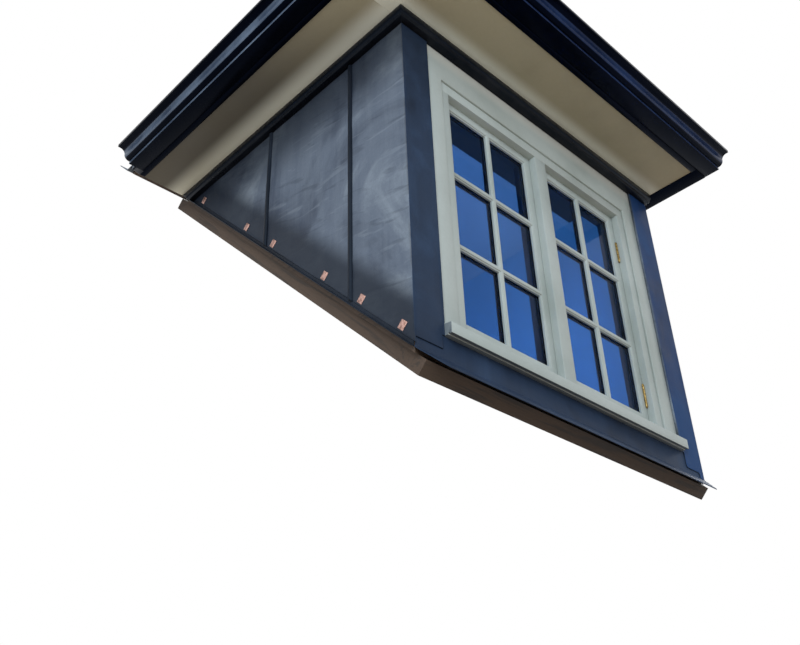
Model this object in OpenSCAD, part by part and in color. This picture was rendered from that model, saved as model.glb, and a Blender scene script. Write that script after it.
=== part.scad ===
// Flat-roofed lead-clad dormer with a two-light timber casement window.
// X runs along the window, Y runs into the building, Z is up, all in millimetres.
// The origin is the middle of the front seat rail's underside, on the rafters.
// Pieces are drawn about the window: y 0 is the casing face, z 0 the sill nose.

/* [Window] */
// Width over the outer casing of the window
win_w = 1200; // [1100:10:1300]
// Height from the sill nose up to the bed mould
win_h = 1134; // [950:1:1300]
// Width of the flat outer casing at the sides
casing_w = 70; // [50:1:85]
// Height of the head casing that shows
casing_head_h = 124; // [90:1:160]
// How far the casing stands proud of the frame
casing_t = 8; // [4:1:14]
// Width of frame face that shows inside the casing
frame_show = 39; // [25:1:50]
// Width of the hidden part of a jamb or head behind the casing
frame_hide = 30; // [20:1:45]
// Depth of the window frame, front to back
frame_d = 95; // [90:1:120]
// Width of the post between the two lights
mullion_w = 60; // [50:1:90]
// How far the sashes sit back from the frame face
reveal_d = 28; // [14:1:34]
// Lap of the frame over the edge of each sash
sash_lap = 14; // [8:1:18]
// Clearance around each sash
sash_gap = 2; // [1:0.5:4]

/* [Sashes] */
// Width of stile and top rail that shows
stile_show = 33; // [25:1:50]
// Height of the bottom rail
bottom_rail = 76; // [50:1:110]
// Thickness of a sash
sash_t = 52; // [46:1:56]
// Width of a glazing bar
bar_w = 21; // [18:1:30]
// Width and depth of the step moulded round each pane
bar_step = 4; // [2:0.5:6]
// How far the glass sits back from the sash face
glass_set = 13; // [9:1:18]
// Thickness of a sealed glass pane
glass_t = 14; // [12:1:24]
// Lap of the pane behind its bars
glass_lap = 7; // [5:0.5:8]
// How far the glazing bars stand behind the glass
bar_back = 6; // [3:1:12]
// Panes across one sash
panes_x = 2; // [1:1:3]
// Panes up one sash
panes_z = 3; // [2:1:4]

/* [Sill] */
// How far the sill nose projects from the casing
sill_out = 34; // [20:1:60]
// Height of the sill nose
sill_h = 35; // [25:1:50]
// How far each sill end passes the casing
sill_horn = 2; // [0:1:8]
// Rise of the weathered sill top to the frame
sill_rise = 6; // [4:1:12]
// Width of the drip groove under the sill
drip_w = 8; // [5:1:10]

/* [Walls] */
// Width of the lead-covered wall at each side of the window
wall_side = 120; // [110:1:180]
// How far the lead face stands in front of the casing
lead_out = 8; // [4:1:12]
// Thickness of the sheet lead
lead_t = 3; // [2:0.5:4]
// Thickness of the cheek boarding
board_t = 18; // [12:1:25]
// Thickness of the lined cheek wall
cheek_t = 87; // [70:1:110]
// Distance from the casing face back to the first roll
roll_1 = 249; // [180:1:300]
// Distance between the two cheek rolls
roll_step = 453; // [350:1:500]
// Width of a cheek roll
roll_w = 18; // [12:1:26]
// Height of the cheek lead's foot above the lead on the tiles
cheek_rise = 10; // [5:1:25]
// Distance of the corner lead's edge under the sill from the casing
corner_lap = 12; // [5:1:30]
// Depth below the sill nose of the left corner lead's bottom edge
lap_left = 80; // [50:1:90]
// Depth below the sill nose of the shoulder in the right corner lead
lap_right = 92; // [60:1:98]
// Width of the right corner lead's tongue at the corner
tongue_w = 25; // [15:1:60]
// Radius of the bends in the right corner lead's edge
tongue_r = 10; // [4:1:12]

/* [Main roof] */
// Pitch of the main roof
roof_pitch = 45; // [40:1:50]
// Level of the tiles at the casing face, below the sill nose
tile_drop = 110; // [95:1:130]
// Height of battens and tiles above the rafters
tile_build = 60; // [55:1:80]
// Thickness of the seat rails on the rafters
seat_t = 47; // [40:1:50]
// Width of the side and back seat rails
seat_w = 90; // [75:1:100]
// How far the lead apron runs out over the tiles, level
apron_out = 75; // [60:1:180]
// Size of the corner trimmed off each end of the apron, level
apron_trim = 60; // [10:1:60]

/* [Eaves] */
// Height of the bed mould
mould_h = 36; // [34:1:60]
// Projection of the bed mould at its foot
mould_foot = 23; // [21:1:28]
// Projection of the bed mould at the soffit
mould_out = 34; // [30:1:36]
// Step between the mould's flat foot and its hollow
mould_step = 2; // [1:1:4]
// Height of the fillet at the mould's top
mould_fillet = 22; // [14:1:24]
// Front overhang from the lead to the fascia's back
over_front = 231; // [160:1:320]
// Left overhang from the lead to the fascia's back
over_left = 211; // [140:1:300]
// Thickness of the soffit boards
soffit_t = 10; // [8:1:15]
// Thickness of the fascia boards
fascia_t = 22; // [16:1:30]
// Drop of the fascia and verge below the soffit
fascia_drop = 3; // [0:1:12]
// Thickness of the verge board on the right
verge_t = 73; // [40:1:80]
// Height of the verge board above the deck
verge_up = 35; // [30:1:60]
// Depth of the roof joists
joist_h = 70; // [65:1:100]
// Width of a roof joist
joist_w = 45; // [38:1:60]
// Joists across the dormer
joist_n = 4; // [3:1:6]
// Short rafters that carry the front overhang
lookout_n = 5; // [3:1:7]
// Thickness of the roof deck
deck_t = 18; // [15:1:25]
// Thickness of the ceiling
ceiling_t = 12; // [9:1:18]

/* [Gutter] */
// Width of the gutter's flat base
gutter_base = 64; // [55:1:70]
// Width of the gutter over its top
gutter_top = 120; // [110:1:125]
// Height of the gutter
gutter_h = 68; // [64:1:80]
// Wall of the gutter
gutter_t = 3; // [2:0.5:4]
// Width of the flat under the gutter's lip
gutter_lip = 9; // [8:1:12]
// Step from the gutter's base to its belly
gutter_step = 2; // [1:0.5:4]
// Drop of the gutter's back below its lip
gutter_drop = 6; // [3:1:12]
// Distance from the left gutter's stop end to the tiles, level at the soffit
gutter_clear = 28; // [20:1:200]

/* [Flashings] */
// Distance from the front of the lead back to the first clip
clip_corner = 45; // [25:1:90]
// Distance from a roll back to the next clip
clip_fore = 124; // [35:1:180]
// Distance from a roll forward to the clip before it
clip_aft = 47; // [35:1:90]
// Size of a copper clip
clip_w = 28; // [16:1:32]
// Thickness of a copper clip
clip_t = 1.5; // [1:0.5:3]
// Height of a clip above the cheek lead's foot
clip_up = 5; // [0:1:12]
// Width of the soakers beyond the cheek
soaker_w = 18; // [15:1:60]
// Drop of the roof lead over the fascia
drip_drop = 24; // [15:1:40]
// Length of roof lead dressed up the main roof
lead_up = 100; // [80:5:200]
// Rolls along the lead roof
roof_roll_n = 2; // [1:1:3]
// Diameter of a roof roll
roof_roll_w = 44; // [36:1:50]

/* [Hidden] */
$fn = 48;
big = 4000;
// Fit of sloping faces that meet
slope_fit = 0.3;
// Fit of a sheet or pane in its place
fit = 0.5;

// Window frame lines, measured from the middle and from the sill nose
half = win_w / 2;
frame_y = casing_t;
frame_back = frame_y + frame_d;
sash_y = frame_y + reveal_d;
casing_x = half - casing_w;
jamb_x = casing_x - frame_show;
post_x = casing_x + frame_hide;
casing_z = win_h - casing_head_h;
head_z = casing_z - frame_show;
head_top = casing_z + frame_hide;
lead_y = -lead_out;
lead_back = lead_y + lead_t;
apron_back = lead_back + lead_t;

// Edges of the cheek's layers, outwards from the middle
face_x = half + wall_side;
board_x = face_x - lead_t;
core_x = board_x - board_t;
inner_x = core_x - cheek_t;

// Levels of the eaves and roof
soffit_z = win_h + mould_h;
joist_z = soffit_z + soffit_t;
deck_z = joist_z + joist_h;
roof_z = deck_z + deck_t;

// Plan lines of the eaves
eaves_y = lead_y - over_front;
eaves_x = -(face_x + over_left);
fascia_y = eaves_y - fascia_t;
fascia_x = eaves_x - fascia_t;
fascia_z = soffit_z - fascia_drop;
verge_x = face_x + verge_t;

// Place of the origin in window measures
seat_y = frame_y + frame_d / 2;
seat_z = seat_y * tan(roof_pitch) - tile_drop - tile_build / cos(roof_pitch);

// Level, and place in y, of a plane that lies n above the rafters
function plane_z(y, n) = seat_z + (y - seat_y) * tan(roof_pitch) + n / cos(roof_pitch);
function plane_y(z, n) = seat_y + (z - seat_z - n / cos(roof_pitch)) / tan(roof_pitch);
// Distance up the slope from the origin of a point at y that stands n off the rafters
function slope_s(y, n) = (y - seat_y) / cos(roof_pitch) + n * tan(roof_pitch);

// Top of the lead that lies on the tiles, and the foot of what stands on it
lead_n = tile_build + lead_t;
foot_n = lead_n + slope_fit;
cheek_n = lead_n + cheek_rise;
post_n = seat_t + slope_fit;

timber = [0.72, 0.58, 0.40];
cream = [0.86, 0.87, 0.80];
lead_grey = [0.36, 0.40, 0.47];
black_paint = [0.06, 0.06, 0.07];
copper = [0.80, 0.55, 0.45];
glass_blue = [0.35, 0.52, 0.72, 0.6];
plaster = [0.9, 0.9, 0.88];

// Moves a piece from window measures to the origin on the seat
module place() translate([0, -seat_y, -seat_z]) children();

// Lays a piece on the rafters: y runs up the slope, z stands off it
module on_rafters() rotate([roof_pitch, 0, 0]) children();

// Extrudes a y-z outline along x
module along_x(x0, x1)
    translate([x0, 0, 0]) rotate([90, 0, 90]) linear_extrude(x1 - x0) children();

// Extrudes an x-z outline along y
module along_y(y0, y1)
    translate([0, y1, 0]) rotate([90, 0, 0]) linear_extrude(y1 - y0) children();

// Box by its low and high corners
module block(a, b) translate(a) cube([b.x - a.x, b.y - a.y, b.z - a.z]);

// Keeps what lies above a plane n off the rafters
module above_roof(n)
    intersection() {
        children();
        along_x(-big / 2, big / 2) polygon([
            [-big / 4, plane_z(-big / 4, n)], [big / 2, plane_z(big / 2, n)],
            [big / 2, big], [-big / 4, big]]);
    }

// Draws a right-hand piece on the side asked for: -1 left, 1 right
module on_side(side) if (side > 0) children(); else mirror([1, 0, 0]) children();

// Cheek outline between two depths, from a roof plane up to a level
module cheek_shape(y0, y1, n, top)
    let (ye = plane_y(top, n))
    if (y1 < ye) polygon([[y0, plane_z(y0, n)], [y1, plane_z(y1, n)], [y1, top], [y0, top]]);
    else polygon([[y0, plane_z(y0, n)], [ye, top], [y0, top]]);

// Seat rails, which lie on the rafters round the hole in the main roof
seat_half_s = frame_d / cos(roof_pitch) / 2;
seat_top_s = slope_s(plane_y(joist_z, post_n), seat_t);

module seat_front() color(timber) on_rafters()
    block([-core_x, -seat_half_s, 0], [core_x, seat_half_s, seat_t]);

module seat_side(side) color(timber) on_side(side) on_rafters()
    block([core_x - seat_w, seat_half_s, 0], [core_x, seat_top_s, seat_t]);

module seat_back() color(timber) on_rafters()
    block([-core_x, seat_top_s, 0], [core_x, seat_top_s + seat_w, seat_t]);

// Front wall
module under_sill_wall() color(timber) place() above_roof(post_n)
    block([-post_x, frame_y, -big / 4], [post_x, frame_back, -sill_h]);

module corner_post(side) color(timber) on_side(side) place() above_roof(post_n)
    block([post_x, frame_y, -big / 4], [core_x, frame_back, joist_z]);

module lintel() color(timber) place()
    block([-post_x, frame_y, head_top], [post_x, frame_back, joist_z]);

module front_boards() color(timber) place() {
    for (side = [-1, 1]) on_side(side)
        block([half + lead_t, lead_back, -sill_h], [board_x, frame_y, soffit_z]);
    above_roof(post_n)
        block([-board_x, apron_back, -big / 4], [board_x, frame_y, -sill_h]);
}

// Cheeks
module cheek_wall(side) color(plaster) on_side(side) place() along_x(inner_x, core_x)
    cheek_shape(frame_back, big, post_n, joist_z);

module cheek_boards(side) color(timber) on_side(side) place() along_x(core_x, board_x)
    cheek_shape(frame_y, big, post_n, side < 0 ? soffit_z : joist_z);

// Lower edge of a corner lead from the sill to the corner: square on the left,
// and on the right a shoulder that bends down into a tongue over the apron
lap_x = half + corner_lap;
tongue_x = face_x - tongue_w;
function arc(centre, from, to) =
    [for (i = [0 : 6]) let (a = from + (to - from) * i / 6) centre + tongue_r * [cos(a), sin(a)]];
left_edge = [[lap_x, -lap_left], [face_x, -lap_left]];
right_edge = concat(
    arc([lap_x + tongue_r, tongue_r - lap_right], 180, 270),
    arc([tongue_x - tongue_r, -tongue_r - lap_right], 90, 0),
    [[tongue_x, -big / 4], [face_x, -big / 4]]);

// Front strip and first cheek bay, one sheet folded round the corner and in beside the casing
module lead_corner(side) color(lead_grey) on_side(side) place() {
    above_roof(foot_n) along_y(lead_y, lead_back) polygon(concat(
        [[half + fit, soffit_z], [half + fit, sill_rise + fit],
         [half + sill_horn + fit, sill_rise + fit], [half + sill_horn + fit, -sill_h - fit],
         [lap_x, -sill_h - fit]],
        side < 0 ? left_edge : right_edge, [[face_x, soffit_z]]));
    block([half + fit, lead_back, sill_rise + fit], [half + lead_t, 0, soffit_z]);
    along_x(board_x, face_x) cheek_shape(lead_y, roll_1 - fit, cheek_n, soffit_z);
}

module lead_bays(side) color(lead_grey) on_side(side) place() along_x(board_x, face_x) {
    cheek_shape(roll_1 + fit, roll_1 + roll_step - fit, cheek_n, soffit_z);
    cheek_shape(roll_1 + roll_step + fit, big, cheek_n, soffit_z);
}

module lead_rolls() color(lead_grey) place()
    for (side = [-1, 1], i = [0, 1]) on_side(side)
        above_roof(cheek_n) translate([face_x, roll_1 + i * roll_step, -big / 4])
            linear_extrude(big / 4 + (side < 0 ? win_h : fascia_z) - fit) intersection() {
                circle(d = roll_w);
                translate([0, -roll_w]) square([roll_w, 2 * roll_w]);
            }

// Apron: an upstand under the sill, folded out over the tiles, its outer corners trimmed
trim_x = face_x - apron_trim;
trim_y = apron_trim - apron_out;

module lead_apron() color(lead_grey) place() {
    along_x(fit - board_x, board_x - fit) polygon([
        [apron_back, plane_z(apron_back, tile_build)], [apron_back, -sill_h],
        [lead_back, -sill_h], [lead_back, plane_z(lead_back, tile_build)]]);
    intersection() {
        along_x(-face_x, face_x) polygon([
            [apron_back, plane_z(apron_back, tile_build)], [apron_back, plane_z(apron_back, lead_n)],
            [-apron_out, plane_z(-apron_out, lead_n)], [-apron_out, plane_z(-apron_out, tile_build)]]);
        translate([0, 0, -big / 2]) linear_extrude(big) polygon([
            [-face_x, apron_back], [-face_x, trim_y], [-trim_x, -apron_out],
            [trim_x, -apron_out], [face_x, trim_y], [face_x, apron_back]]);
    }
}

// Soakers: a flat leg on the tiles and an upright one up to the cheek lead
cheek_top_y = plane_y(soffit_z, lead_n);
soaker_y = apron_back + fit;

module sloped_strip(x0, x1, n0, n1, y1)
    along_x(x0, x1) polygon([
        [soaker_y, plane_z(soaker_y, n0)], [y1, plane_z(y1, n0)],
        [y1, plane_z(y1, n1)], [soaker_y, plane_z(soaker_y, n1)]]);

module soakers() color(lead_grey)
    for (side = [-1, 1]) on_side(side) place() {
        sloped_strip(board_x, face_x + soaker_w, tile_build, lead_n, cheek_top_y);
        sloped_strip(board_x, face_x, tile_build, cheek_n - slope_fit,
                     plane_y(soffit_z, cheek_n));
    }

// Clips along each cheek foot, two to a lead bay; the last clears the bed mould
clip_foot = cheek_n + clip_up;
clip_last = plane_y(win_h, clip_foot + clip_w) - clip_w;
roll_2 = roll_1 + roll_step;
clip_rows = [lead_y + clip_corner, roll_1 - clip_aft, roll_1 + clip_fore,
             roll_2 - clip_aft, roll_2 + clip_fore, clip_last];

module copper_clips() color(copper)
    for (side = [-1, 1], y = clip_rows)
        let (s = slope_s(y, clip_foot + clip_w / 2) - clip_w / 2)
        on_side(side) on_rafters()
            block([face_x, s, clip_foot], [face_x + clip_t, s + clip_w, clip_foot + clip_w]);

// Window frame
module sill_section(back) difference() {
    polygon([[-sill_out, -sill_h], [-sill_out, 0], [frame_y, sill_rise],
             [back, sill_rise], [back, -sill_h]]);
    translate([-sill_out + 1.5 * drip_w, -sill_h]) circle(d = drip_w);
}

module sill() color(cream) place() above_roof(post_n) {
    along_x(-half - sill_horn, half + sill_horn) sill_section(frame_y);
    along_x(-post_x, post_x) sill_section(frame_back);
}

// Section of a frame member: a front part, and a rebate behind that takes the sash
module rebated(front, back) {
    along_y(frame_y, sash_y) polygon(front);
    along_y(sash_y, frame_back) polygon(back);
}

module frame_head() color(cream) place() rebated(
    [[-post_x, head_z], [post_x, head_z], [post_x, head_top], [-post_x, head_top]],
    [[-post_x, head_z + sash_lap], [post_x, head_z + sash_lap],
     [post_x, head_top], [-post_x, head_top]]);

module frame_jamb(side) color(cream) on_side(side) place() rebated(
    [[jamb_x, sill_rise], [post_x, sill_rise], [post_x, head_z], [jamb_x, head_z]],
    [[jamb_x + sash_lap, sill_rise], [post_x, sill_rise],
     [post_x, head_z + sash_lap], [jamb_x + sash_lap, head_z + sash_lap]]);

module mullion() color(cream) place() rebated(
    [[-mullion_w / 2, sill_rise], [mullion_w / 2, sill_rise],
     [mullion_w / 2, head_z], [-mullion_w / 2, head_z]],
    [[-mullion_w / 2 + sash_lap, sill_rise], [mullion_w / 2 - sash_lap, sill_rise],
     [mullion_w / 2 - sash_lap, head_z + sash_lap], [-mullion_w / 2 + sash_lap, head_z + sash_lap]]);

module casing() color(cream) place() along_y(0, frame_y) polygon([
    [-half, sill_rise], [-casing_x, sill_rise], [-casing_x, casing_z],
    [casing_x, casing_z], [casing_x, sill_rise], [half, sill_rise],
    [half, soffit_z], [-half, soffit_z]]);

// Sashes
sash_x0 = mullion_w / 2 - sash_lap + sash_gap;
sash_x1 = jamb_x + sash_lap - sash_gap;
sash_z0 = sill_rise + sash_gap;
sash_z1 = head_z + sash_lap - sash_gap;
glass_x0 = mullion_w / 2 + stile_show;
glass_x1 = jamb_x - stile_show;
glass_z0 = sash_z0 + bottom_rail;
glass_z1 = head_z - stile_show;
pane_w = (glass_x1 - glass_x0 - (panes_x - 1) * bar_w) / panes_x;
pane_h = (glass_z1 - glass_z0 - (panes_z - 1) * bar_w) / panes_z;
glass_y = sash_y + glass_set;
bead_y = glass_y + glass_t;

// Every pane's outline, grown on all sides by g
module pane_outlines(g)
    for (i = [0 : panes_x - 1], j = [0 : panes_z - 1])
        translate([glass_x0 + i * (pane_w + bar_w) - g, glass_z0 + j * (pane_h + bar_w) - g])
            square([pane_w + 2 * g, pane_h + 2 * g]);

// One slice of a sash between two depths, with its pane openings grown by g
module sash_slice(y0, y1, g)
    along_y(y0, y1) difference() {
        translate([sash_x0, sash_z0]) square([sash_x1 - sash_x0, sash_z1 - sash_z0]);
        pane_outlines(g);
    }

module sash(side) color(cream) on_side(side) place() {
    sash_slice(sash_y, sash_y + bar_step, bar_step);
    sash_slice(sash_y + bar_step, glass_y, 0);
    sash_slice(glass_y, bead_y, glass_lap);
    sash_slice(bead_y, bead_y + bar_back, 0);
    along_y(bead_y + bar_back, sash_y + sash_t) difference() {
        translate([sash_x0, sash_z0]) square([sash_x1 - sash_x0, sash_z1 - sash_z0]);
        translate([glass_x0, glass_z0]) square([glass_x1 - glass_x0, glass_z1 - glass_z0]);
    }
}

module panes(side) color(glass_blue) on_side(side) place()
    along_y(glass_y, bead_y) pane_outlines(glass_lap - fit);

// Bed mould under the soffit: a flat foot, a step, a hollow and a top fillet
mould_r = mould_out - mould_foot - mould_step;
hollow_z = mould_h - mould_fillet - mould_r;
mould_line = concat(
    [[0, 0], [mould_foot, 0], [mould_foot, hollow_z - mould_step]],
    [for (a = [0 : 15 : 90]) [mould_foot + mould_step + mould_r * (1 - cos(a)),
                              hollow_z + mould_r * sin(a)]],
    [[mould_out, mould_h - mould_fillet], [mould_out, mould_h], [0, mould_h]]);

// Keeps the front or the left half of a mitred corner in plan
module mitre(corner, front, reach = 2 * big)
    intersection() {
        children();
        translate([corner.x, corner.y, -big]) linear_extrude(2 * big) polygon(front
            ? [[0, 0], [-reach, -reach], [reach, -reach], [reach, 0]]
            : [[0, 0], [-reach, -reach], [-reach, reach], [0, reach]]);
    }

module bed_mould_front() color(black_paint) place() {
    mitre([-face_x, lead_y], true) along_x(-face_x - mould_out, face_x)
        polygon([for (p = mould_line) [lead_y - p.x, win_h + p.y]]);
    block([-half, lead_y, win_h], [half, 0, soffit_z]);
}

module bed_mould_left() color(black_paint) place() above_roof(foot_n)
    mitre([-face_x, lead_y], false) along_y(lead_y - mould_out, cheek_top_y + mould_h)
        polygon([for (p = mould_line) [-face_x - p.x, win_h + p.y]]);

// Soffit boards
module soffit_front() color(cream) place()
    block([eaves_x, eaves_y, soffit_z], [face_x, frame_y, joist_z]);

module soffit_left() color(cream) place() above_roof(foot_n)
    block([eaves_x, frame_y, soffit_z], [-core_x, big / 2, joist_z]);

// Fascia and verge boards
module fascia_front() color(black_paint) place()
    block([fascia_x, fascia_y, fascia_z], [face_x, eaves_y, roof_z]);

module fascia_left() color(black_paint) place() above_roof(foot_n)
    block([fascia_x, eaves_y, fascia_z], [eaves_x, big / 2, roof_z]);

module verge_board() color(black_paint) place() above_roof(foot_n)
    block([face_x, fascia_y, fascia_z], [verge_x, big / 2, roof_z + verge_up]);

// Gutter section: flat base, then a belly and a hollow up to the lip
gutter_r = (gutter_top - gutter_base - gutter_lip - gutter_step) / 2;
gutter_edge = (gutter_h - 2 * gutter_r) / 2;
belly = [gutter_base + gutter_step, gutter_edge + gutter_r];
hollow = [belly.x + 2 * gutter_r, belly.y];
function belly_arc(r) = [for (a = [-90 : 10 : 0]) belly + r * [cos(a), sin(a)]];
function hollow_arc(r) = [for (a = [180 : -10 : 90]) hollow + r * [cos(a), sin(a)]];
gutter_outer = concat([[0, 0], [gutter_base, 0], [gutter_base, gutter_edge]],
    belly_arc(gutter_r), hollow_arc(gutter_r),
    [[gutter_top, gutter_h - gutter_edge], [gutter_top, gutter_h]]);
gutter_inner = concat([[gutter_top - gutter_t, gutter_h],
                       [gutter_top - gutter_t, gutter_h - gutter_edge + gutter_t]],
    [for (i = [9 : -1 : 0]) hollow_arc(gutter_r + gutter_t)[i]],
    [for (i = [9 : -1 : 0]) belly_arc(gutter_r - gutter_t)[i]],
    [[gutter_base - gutter_t, gutter_edge + gutter_t], [gutter_base - gutter_t, gutter_t],
     [gutter_t, gutter_t], [gutter_t, gutter_h - gutter_drop], [0, gutter_h - gutter_drop]]);
gutter_solid = concat(gutter_outer, [[0, gutter_h - gutter_drop]]);

module gutter_front() color(black_paint) place() mitre([fascia_x, fascia_y], true) {
    along_x(fascia_x - gutter_top, verge_x)
        polygon([for (p = concat(gutter_outer, gutter_inner)) [fascia_y - p.x, soffit_z + p.y]]);
    along_x(verge_x - gutter_t, verge_x)
        polygon([for (p = gutter_solid) [fascia_y - p.x, soffit_z + p.y]]);
}

gutter_end = cheek_top_y - gutter_clear;

module gutter_left() color(black_paint) place() mitre([fascia_x, fascia_y], false) {
    along_y(fascia_y - gutter_top, gutter_end)
        polygon([for (p = concat(gutter_outer, gutter_inner)) [fascia_x - p.x, soffit_z + p.y]]);
    along_y(gutter_end - gutter_t, gutter_end)
        polygon([for (p = gutter_solid) [fascia_x - p.x, soffit_z + p.y]]);
}

// Flat roof
joist_back = plane_y(joist_z, post_n);
joist_pitch = (joist_back - frame_y - joist_w) / (joist_n - 1);
lookout_pitch = (face_x - eaves_x - joist_w) / (lookout_n - 1);

module roof_joists() color(timber) place() {
    for (i = [0 : joist_n - 1])
        let (y = frame_y + i * joist_pitch)
        above_roof(foot_n) block([eaves_x, y, joist_z], [face_x, y + joist_w, deck_z]);
}

module lookouts() color(timber) place()
    for (i = [0 : lookout_n - 1])
        let (x = eaves_x + i * lookout_pitch)
        block([x, eaves_y, joist_z], [x + joist_w, frame_y, deck_z]);

module roof_deck() color(timber) place() above_roof(post_n)
    block([eaves_x, eaves_y, deck_z], [face_x, big / 2, roof_z]);

module ceiling() color(plaster) place() above_roof(post_n)
    block([-inner_x, frame_back, joist_z - ceiling_t], [inner_x, big / 2, joist_z]);

// Lead roof: flat sheet, turned down at the eaves and up the main roof
roof_back = plane_y(roof_z, post_n);
lead_up_y = roof_back + lead_up * cos(roof_pitch);
lead_skin = lead_t / cos(roof_pitch);
skin_top = roof_z + lead_skin;
roof_bay = (face_x - fascia_x) / (roof_roll_n + 1);

module lead_roof() color(lead_grey) place() {
    along_x(fascia_x - lead_t, face_x) polygon([
        [fascia_y - lead_t, roof_z - drip_drop], [fascia_y, roof_z - drip_drop],
        [fascia_y, roof_z], [roof_back, roof_z],
        [lead_up_y, roof_z + lead_up * sin(roof_pitch)],
        [lead_up_y, skin_top + lead_up * sin(roof_pitch)],
        [roof_back - (lead_skin - lead_t) / tan(roof_pitch), roof_z + lead_t],
        [fascia_y - lead_t, roof_z + lead_t]]);
    block([fascia_x - lead_t, fascia_y, roof_z - drip_drop],
          [fascia_x, plane_y(roof_z - drip_drop, foot_n), roof_z]);
    block([face_x - lead_t, fascia_y, roof_z], [face_x, roof_back, roof_z + verge_up]);
    for (i = [1 : roof_roll_n])
        translate([fascia_x + i * roof_bay, 0, roof_z + lead_t])
            along_y(fascia_y - lead_t, roof_back) intersection() {
                translate([0, roof_roll_w / 4]) circle(d = roof_roll_w);
                translate([-roof_roll_w, -lead_t / 2]) square(2 * roof_roll_w);
            }
}

seat_front();
seat_side(-1);  // seat_left
seat_side(1);  // seat_right
seat_back();
under_sill_wall();
corner_post(-1);  // corner_post_left
corner_post(1);  // corner_post_right
lintel();
front_boards();
cheek_wall(-1);  // cheek_wall_left
cheek_wall(1);  // cheek_wall_right
cheek_boards(-1);  // cheek_boards_left
cheek_boards(1);  // cheek_boards_right
lead_corner(-1);  // lead_corner_left
lead_corner(1);  // lead_corner_right
lead_bays(-1);  // lead_bays_left
lead_bays(1);  // lead_bays_right
lead_rolls();
lead_apron();
soakers();
copper_clips();
sill();
frame_head();
frame_jamb(-1);  // frame_jamb_left
frame_jamb(1);  // frame_jamb_right
mullion();
casing();
sash(-1);  // sash_left
sash(1);  // sash_right
panes(-1);  // panes_left
panes(1);  // panes_right
bed_mould_front();
bed_mould_left();
soffit_front();
soffit_left();
fascia_front();
fascia_left();
verge_board();
gutter_front();
gutter_left();
roof_joists();
lookouts();
roof_deck();
ceiling();
lead_roof();
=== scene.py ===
# %% [markdown]
# A lead-clad dormer window
#
# This script dresses a dormer window that stands on a pitched roof. Its carpentry, sheet lead and
# joinery come in as solids at their real size. The lesson gives each of them a finish, softens the
# edges that a plane or a brush would soften, and adds what is too small for the solids. It ends
# with the light and the camera.

# %% Load the solids
import math

import bmesh
import bpy
from mathutils import Matrix, Vector, noise


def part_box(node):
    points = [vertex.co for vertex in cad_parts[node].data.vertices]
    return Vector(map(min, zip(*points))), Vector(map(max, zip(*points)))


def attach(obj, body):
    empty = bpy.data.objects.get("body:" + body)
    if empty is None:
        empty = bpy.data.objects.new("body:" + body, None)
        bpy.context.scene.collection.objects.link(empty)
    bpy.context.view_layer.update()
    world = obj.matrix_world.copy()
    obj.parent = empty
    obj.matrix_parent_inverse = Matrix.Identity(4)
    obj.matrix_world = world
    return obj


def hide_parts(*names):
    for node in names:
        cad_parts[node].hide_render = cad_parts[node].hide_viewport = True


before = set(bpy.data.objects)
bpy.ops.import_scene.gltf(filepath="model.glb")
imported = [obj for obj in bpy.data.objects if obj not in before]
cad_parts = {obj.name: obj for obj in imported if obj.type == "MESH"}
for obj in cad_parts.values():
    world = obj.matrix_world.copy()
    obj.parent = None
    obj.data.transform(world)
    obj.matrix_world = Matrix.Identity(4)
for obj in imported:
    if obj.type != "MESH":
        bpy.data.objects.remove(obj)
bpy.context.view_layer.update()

# %% [markdown]
# Colours are easiest to read as the 0 to 255 values of a picture. Shaders work in linear light, so
# one small function turns the first into the second.

# %% Colours as a picture gives them
def tint(red, green, blue):
    """A picture's colour as the linear colour that a shader takes."""
    def channel(v):
        v = v / 255
        return v / 12.92 if v <= 0.04045 else ((v + 0.055) / 1.055) ** 2.4
    return (channel(red), channel(green), channel(blue), 1.0)


print("mid grey in linear light:", round(tint(128, 128, 128)[0], 3))

# %% [markdown]
# Every finish below starts from the Principled shader and reads Object coordinates. All the pieces
# sit at the origin, so one pattern runs on without a break from a piece to the next. A noise drives
# most of them: stretched along one axis it is grain or a streak, and left round it is mottling. The
# helper makes that noise, with its own size and stretch in each direction.

# %% A material and its noise
def make_finish(name, roughness, metallic=0.0):
    """A material with a Principled shader; gives back the material, its node tree and the shader."""
    material = bpy.data.materials.new(name)
    material.use_nodes = True
    tree = material.node_tree
    shader = tree.nodes["Principled BSDF"]
    shader.inputs["Roughness"].default_value = roughness
    shader.inputs["Metallic"].default_value = metallic
    return material, tree, shader


def add_noise(tree, repeats, detail=4.0, rough=0.5, warp=0.0, turn=(0.0, 0.0, 0.0)):
    """A noise that repeats so many times a metre along x, y and z, which may be turned first."""
    place = tree.nodes.new("ShaderNodeTexCoord")
    mapping = tree.nodes.new("ShaderNodeMapping")
    mapping.vector_type = "TEXTURE"
    mapping.inputs["Rotation"].default_value = turn
    mapping.inputs["Scale"].default_value = tuple(1.0 / r for r in repeats)
    pattern = tree.nodes.new("ShaderNodeTexNoise")
    pattern.inputs["Scale"].default_value = 1.0
    pattern.inputs["Detail"].default_value = detail
    pattern.inputs["Roughness"].default_value = rough
    pattern.inputs["Distortion"].default_value = warp
    tree.links.new(place.outputs["Object"], mapping.inputs["Vector"])
    tree.links.new(mapping.outputs["Vector"], pattern.inputs["Vector"])
    return pattern.outputs["Fac"]


def add_ramp(tree, value, stops):
    """Turns a value into colours, by stops of (place, colour)."""
    ramp = tree.nodes.new("ShaderNodeValToRGB")
    ramp.color_ramp.interpolation = "EASE"
    while len(ramp.color_ramp.elements) < len(stops):
        ramp.color_ramp.elements.new(0.5)
    for element, (spot, colour) in zip(ramp.color_ramp.elements, stops):
        element.position = spot
        element.color = colour
    tree.links.new(value, ramp.inputs["Fac"])
    return ramp.outputs["Color"]


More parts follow.
